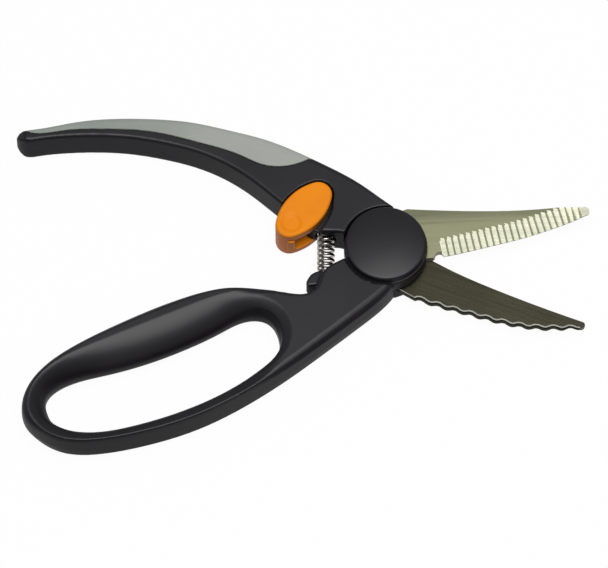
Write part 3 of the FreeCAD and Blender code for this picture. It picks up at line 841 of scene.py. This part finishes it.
    def crisper(self, away: float) -> float:
        """A distance from the rim's corner, drawn in so that the rim gets its wanted radius.

        Args:
            away: the distance in the CAD's shape.

        Returns:
            The distance in the wanted shape.
        """
        if away < self.rim_cad:
            return away * self.rim_wanted / self.rim_cad
        if away > self.rim_reach:
            return away
        share = (away - self.rim_cad) / (self.rim_reach - self.rim_cad)
        return self.rim_wanted + share * (self.rim_reach - self.rim_wanted)

    def place_across(self, tree: BVHTree, spot: Vector, foot: Vector, middle: float) -> tuple[float, float]:
        """Where a place is between the finger loop's hole and the handle's outer edge.

        Args:
            tree: the loop handle's surface.
            spot: the place.
            foot: the point of the finger loop's middle line that faces it.
            middle: height of the handle's middle plane.

        Returns:
            -1 at the hole to 1 at the outer edge, and the width between them, which is 0 off the handle.
        """
        out = (spot.xy - foot).to_3d()
        away = out.normalized()
        start = foot.to_3d() + Vector((0, 0, middle))
        inner = tree.ray_cast(start, away)[3]
        if inner is None:
            return 0.0, 0.0
        outer = tree.ray_cast(start + away * (inner + self.past_wall), away)[3]
        if outer is None:
            return 0.0, 0.0
        width = outer + self.past_wall
        return min(max(2 * (out.length - inner) / width - 1, -1.0), 1.0), width

    def cad_height(self, tree: BVHTree, spot: Vector, middle: float, half: float) -> float:
        """The CAD section's height over the middle plane at a place, or half the thickness off the handle.

        Args:
            tree: the loop handle's surface.
            spot: the place.
            middle: height of the handle's middle plane.
            half: half its thickness.

        Returns:
            The height.
        """
        down = math.copysign(1, middle - spot.z)
        top = tree.ray_cast(Vector((spot.x, spot.y, middle - 2 * half * down)), Vector((0, 0, down)))[0]
        return half if top is None else max(abs(top.z - middle), self.past_wall)

    @staticmethod
    def ramp(value: float, low: float, high: float) -> float:
        """A smooth step from 0 at low to 1 at high."""
        share = min(max((value - low) / (high - low), 0.0), 1.0)
        return share * share * (3.0 - 2.0 * share)


@dataclass
class Blades:
    """The serrated and the scalloped blade."""

    frame: dict[str, Any]
    smooth: float = 9.0  # faces that meet at a smaller angle are shaded as one
    ground: Span = (0.88, 0.935)  # how level the ground steps are
    smallest: float = 3.0 * MM * MM  # the least area of a step
    coplanar: float = 0.99999

    def build(self, near: bpy.types.Material, far: bpy.types.Material) -> None:
        """Dresses the two blades.

        Args:
            near: the serrated blade's material.
            far: the scalloped blade's material.
        """
        blade = Bench.copy_node(self.frame, "serrated_blade", "serrated_blade_ground")
        self.mark_steps(blade)
        Bench.take(blade)
        bpy.ops.object.shade_smooth_by_angle(angle=math.radians(self.smooth))
        Bench.finish(blade, Body.LOOP, Slot.NEAR_STEEL, near, "serrated_blade")
        dress_node(self.frame, "scalloped_blade", far)

    def mark_steps(self, blade: bpy.types.Object) -> None:
        """Writes how far each corner of a ground step is from its deep end, 1, to its run-out, 0.

        Args:
            blade: the serrated blade.
        """
        mesh = blade.data
        steps = sorted(self.flat_patches(mesh), key=lambda patch: self.middle(mesh, patch).x)
        place = mesh.attributes.new(STEP_PLACE, "FLOAT", "CORNER")
        for number, patch in enumerate(steps):
            before = self.middle(mesh, steps[max(number - 1, 0)])
            after = self.middle(mesh, steps[min(number + 1, len(steps) - 1)])
            way = (after - before).normalized()
            corners = [corner for face in patch for corner in mesh.polygons[face].loop_indices]
            runs = [mesh.vertices[mesh.loops[corner].vertex_index].co.dot(way) for corner in corners]
            for corner, run in zip(corners, runs):
                place.data[corner].value = (max(runs) - run) / (max(runs) - min(runs))
        LOG.info("%s: %d ground steps", blade.name, len(steps))

    def flat_patches(self, mesh: bpy.types.Mesh) -> list[list[int]]:
        """The flat patches of the ground bevel that are large enough to be a step.

        Args:
            mesh: the serrated blade's mesh.

        Returns:
            The faces of each patch.
        """
        beside: dict[tuple[int, int], list[int]] = {}
        ground = set()
        for face in mesh.polygons:
            if self.ground[0] < face.normal.z < self.ground[1]:
                ground.add(face.index)
                for edge in face.edge_keys:
                    beside.setdefault(edge, []).append(face.index)
        patches = []
        while ground:
            patch, waiting = [], [ground.pop()]
            while waiting:
                face = mesh.polygons[waiting.pop()]
                patch.append(face.index)
                for edge in face.edge_keys:
                    for other in beside[edge]:
                        level = mesh.polygons[other].normal.dot(face.normal) > self.coplanar
                        if other in ground and level:
                            ground.discard(other)
                            waiting.append(other)
            if sum(mesh.polygons[face].area for face in patch) > self.smallest:
                patches.append(patch)
        return patches

    @staticmethod
    def middle(mesh: bpy.types.Mesh, patch: Sequence[int]) -> Vector:
        """The middle of a patch of faces."""
        return sum((mesh.polygons[face].center for face in patch), Vector()) / len(patch)


@dataclass
class PivotStack:
    """The large cap and what it covers."""

    frame: dict[str, Any]
    sides: int = 160
    shell: float = 4.5 * MM  # how deep the modelled cap is
    crown_drop: float = 1.40 * MM  # how much lower the dome is at its rim
    rim: float = 1.0 * MM
    rim_steps: int = 8
    rim_profile: float = 0.55
    rings: int = 8
    level: float = 0.1 * MM
    smooth: float = 40.0

    def build(self, black: bpy.types.Material, steel: bpy.types.Material, brass: bpy.types.Material) -> None:
        """Builds the cap and dresses the hidden stack.

        Args:
            black: the caps' material.
            steel: the bolt's, nut's and washer's material.
            brass: the bush's and slip washer's material.
        """
        low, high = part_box("pivot_cap")
        radius = (high.x - low.x) / 2
        base = high.z - self.shell
        bpy.ops.object.select_all(action="DESELECT")
        bpy.ops.mesh.primitive_cylinder_add(
            vertices=self.sides, radius=radius, depth=high.z - base, location=(0, 0, (high.z + base) / 2)
        )
        cap = bpy.context.active_object
        cap.name = "pivot_cap_shell"
        Bench.bake_place(cap)
        Bench.select_faces(cap, lambda face: face.normal.z > 0.9)
        bpy.ops.mesh.bevel(
            offset=self.rim, segments=self.rim_steps, profile=self.rim_profile, affect="EDGES"
        )
        bpy.ops.object.mode_set(mode="OBJECT")
        self.dome(cap, high.z, radius)
        Bench.take(cap)
        bpy.ops.object.shade_smooth_by_angle(angle=math.radians(self.smooth))
        Bench.finish(cap, Body.LOOP, Slot.BLACK, black, "pivot_cap")
        dress_node(self.frame, "rear_cap", black)
        for node in ("pivot_bolt", "pivot_nut", "spring_washer"):
            dress_node(self.frame, node, steel)
        for node in ("pivot_bush", "slip_washer"):
            dress_node(self.frame, node, brass)

    def dome(self, cap: bpy.types.Object, top: float, radius: float) -> None:
        """Insets the crown in rings and lowers each towards the rim for a slight dome.

        Args:
            cap: the cap.
            top: height of the crown's middle.
            radius: the cap's radius.
        """
        def crown(face: bpy.types.MeshPolygon) -> bool:
            """Whether a face is the crown's middle disc."""
            flat = face.normal.z > 0.999 and face.center.z > top - self.level
            return flat and len(face.vertices) == self.sides

        for _ in range(self.rings):
            Bench.select_faces(cap, crown)
            bpy.ops.mesh.inset(thickness=radius / (self.rings + 2))
            bpy.ops.object.mode_set(mode="OBJECT")
        for vertex in cap.data.vertices:
            if vertex.co.z > top - self.rim - self.level:
                out = min(vertex.co.xy.length / radius, 1.0)
                vertex.co.z -= self.crown_drop * out * out


@dataclass
class Lever:
    """The orange lock lever and its pin."""

    frame: dict[str, Any]
    voxel: float = 0.22 * MM
    rounds: int = 3

    def build(self, orange: bpy.types.Material, steel: bpy.types.Material) -> None:
        """Builds the lever.

        Args:
            orange: the lever's material.
            steel: the pin's material.
        """
        piece = Bench.copy_node(self.frame, "lock_lever", "lock_lever_moulding")
        Bench.soften(piece, self.voxel, self.rounds)
        Bench.finish(piece, Body.LEVER, Slot.ORANGE, orange, "lock_lever")
        dress_node(self.frame, "lever_pin", steel)


@dataclass
class CoilSpring:
    """The return spring, a round-wire coil laid between the two halves."""

    turns: int = 11
    steps: int = 40
    wire: float = 0.60 * MM  # the wire's radius
    wire_sides: int = 12
    joined: float = 0.001 * MM
    coil: float = 3.15 * MM  # the coil's radius, to the wire's middle
    smooth: float = 50.0
    low: Vector = field(default_factory=lambda: Vector((-23.5, -17.3, 8.5)) * MM)
    high: Vector = field(default_factory=lambda: Vector((-25.5, 9.0, 8.5)) * MM)

    def build(self, wire: bpy.types.Material) -> None:
        """Sweeps the wire by a screw and lays it between the two pockets.

        Args:
            wire: the spring's material.
        """
        run = self.high - self.low
        long = run.length - 2 * self.wire
        bpy.ops.object.select_all(action="DESELECT")
        bpy.ops.mesh.primitive_circle_add(vertices=self.wire_sides, radius=self.wire, fill_type="NOTHING")
        coil = bpy.context.active_object
        coil.name = "return_spring_coil"
        upright = Matrix.Rotation(math.pi / 2, 4, "X")
        coil.matrix_world = Matrix.Translation((self.coil, 0, self.wire)) @ upright
        Bench.bake_place(coil)
        Bench.modify(
            coil,
            "SCREW",
            axis="Z",
            angle=2 * math.pi,
            iterations=self.turns,
            steps=self.steps,
            render_steps=self.steps,
            screw_offset=long / self.turns,
            use_normal_calculate=True,
        )
        Bench.take(coil)
        bpy.ops.object.mode_set(mode="EDIT")
        bpy.ops.mesh.select_all(action="SELECT")
        bpy.ops.mesh.remove_doubles(threshold=self.joined)
        bpy.ops.mesh.select_all(action="DESELECT")
        bpy.ops.mesh.select_mode(type="EDGE")
        bpy.ops.mesh.select_non_manifold(extend=False)
        bpy.ops.mesh.edge_face_add()
        bpy.ops.mesh.select_all(action="SELECT")
        bpy.ops.mesh.normals_make_consistent(inside=False)
        bpy.ops.object.mode_set(mode="OBJECT")
        lay: Quaternion = Vector((0, 0, 1)).rotation_difference(run)
        coil.matrix_world = Matrix.Translation(self.low) @ lay.to_matrix().to_4x4()
        Bench.bake_place(coil)
        bpy.ops.object.shade_smooth_by_angle(angle=math.radians(self.smooth))
        coil.data.materials.clear()
        coil.data.materials.append(wire)
        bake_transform(coil)
        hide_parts("return_spring")
        LOG.info("%s: %d faces", coil.name, len(coil.data.polygons))


# ---- studio -------------------------------------------------------------------------------


@dataclass
class Studio:
    """A pale floor, soft light and a long-lens camera."""

    turn: float = 4.4  # degrees about Z
    height: float = 64.8  # degrees above the floor
    distance: float = 3.0
    view_width: float = 252.3 * MM
    aside: float = -33.8 * MM
    ahead: float = -10.0 * MM
    sensor: float = 36.0
    floor_size: float = 6.0
    floor_below: float = 0.2 * MM
    paper: tuple[Colour, Colour] = ((0.93, 0.93, 0.93), (0.95, 0.95, 0.95))
    floor_white: float = 0.96
    lamp_place: tuple[float, float, float] = (0.05, -0.14, 1.35)
    lamp_aim: tuple[float, float, float] = (-0.03, 0.0, 0.0)
    lamp_size: float = 0.90
    lamp_power: float = 13.5
    surround: float = 0.27

    def right(self) -> Vector:
        """The camera's right, on the floor."""
        return Vector((math.cos(math.radians(self.turn)), math.sin(math.radians(self.turn)), 0))

    def away(self) -> Vector:
        """The way from the camera into the scene, on the floor."""
        return Vector((-math.sin(math.radians(self.turn)), math.cos(math.radians(self.turn)), 0))

    def build(self) -> None:
        """Adds the floor, the camera, the lamp and the world."""
        self.floor()
        self.camera()
        self.lamp()
        self.world()
        bpy.context.scene.view_settings.view_transform = "Standard"

    def floor(self) -> None:
        """A wide pale floor just under the shears."""
        bpy.ops.object.select_all(action="DESELECT")
        bpy.ops.mesh.primitive_plane_add(size=self.floor_size, location=(0, 0, -self.floor_below))
        floor = bpy.context.active_object
        floor.name = "studio_floor"
        g = Graph("studio_floor")
        cloud = g.noise(g.place(), 3.0, 2.0)
        g.surface(base_color=g.blend(cloud, *self.paper), roughness=0.9)
        g.whiten(self.floor_white)
        floor.data.materials.append(g.material)

    def camera(self) -> None:
        """A camera far off, on a long lens."""
        target = self.right() * self.aside + self.away() * self.ahead
        rise = math.radians(self.height)
        back = -self.away() * math.cos(rise) + Vector((0, 0, math.sin(rise)))
        data = bpy.data.cameras.new("studio_camera")
        data.sensor_width = self.sensor
        data.lens = self.sensor * self.distance / self.view_width
        data.clip_end = 20.0
        camera = bpy.data.objects.new("studio_camera", data)
        bpy.context.scene.collection.objects.link(camera)
        up = self.away() * math.sin(rise) + Vector((0, 0, math.cos(rise)))
        axes = Matrix((self.right(), up, back)).transposed().to_4x4()
        camera.matrix_world = Matrix.Translation(target + back * self.distance) @ axes
        bpy.context.scene.camera = camera

    def lamp(self) -> None:
        """A square area lamp overhead that faces the shears."""
        data = bpy.data.lights.new("key", "AREA")
        data.shape = "SQUARE"
        data.size = self.lamp_size
        data.energy = self.lamp_power
        lamp = bpy.data.objects.new("key", data)
        bpy.context.scene.collection.objects.link(lamp)
        spot = Vector(self.lamp_place)
        aim = (Vector(self.lamp_aim) - spot).to_track_quat("-Z", "Y")
        lamp.matrix_world = Matrix.Translation(spot) @ aim.to_matrix().to_4x4()

    def world(self) -> None:
        """An even pale surround."""
        world = bpy.data.worlds.new("studio_world")
        world.use_nodes = True
        world.node_tree.nodes["Background"].inputs["Color"].default_value = (1.0, 1.0, 1.0, 1.0)
        world.node_tree.nodes["Background"].inputs["Strength"].default_value = self.surround
        bpy.context.scene.world = world


def main() -> None:
    """Builds every piece in order."""
    logging.basicConfig(level=logging.INFO, format="%(name)s: %(message)s")
    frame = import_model()
    black = MouldedPlastic().material()
    steel = PlainMetal("pivot_steel", (0.62, 0.62, 0.60), (0.45, 0.45, 0.44)).material()
    brass = PlainMetal("bush_brass", (0.68, 0.50, 0.22), (0.52, 0.37, 0.15)).material()
    wire = PlainMetal("spring_wire", (0.52, 0.51, 0.46), (0.28, 0.27, 0.24), 0.22).material()
    near = BladeSteel(
        "near_blade_steel",
        flat=(0.400, 0.410, 0.250),
        spine=(0.245, 0.252, 0.162),
        ground=(0.400, 0.405, 0.320),
        lay=8.0,
        width=(17.0 * MM, 8.0 * MM),
    ).material()
    # painted shade: the far blade's dark flat colours stand in for the dark that its polished faces reflect
    far = BladeSteel(
        "far_blade_steel",
        flat=(0.136, 0.131, 0.086),
        spine=(0.098, 0.094, 0.061),
        ground=(0.85, 0.85, 0.78),
        lay=-17.0,
        width=(2.0 * MM, 9.0 * MM),
        roughness=0.24,
        gleam=8.00 * MM,
    ).material()
    Studio().build()
    Handles(frame).build(black, SoftTouch().material())
    Blades(frame).build(near, far)
    PivotStack(frame).build(black, steel, brass)
    Lever(frame).build(OrangePlastic().material(), steel)
    CoilSpring().build(wire)
    bpy.context.view_layer.update()


if __name__ == "__main__":
    main()
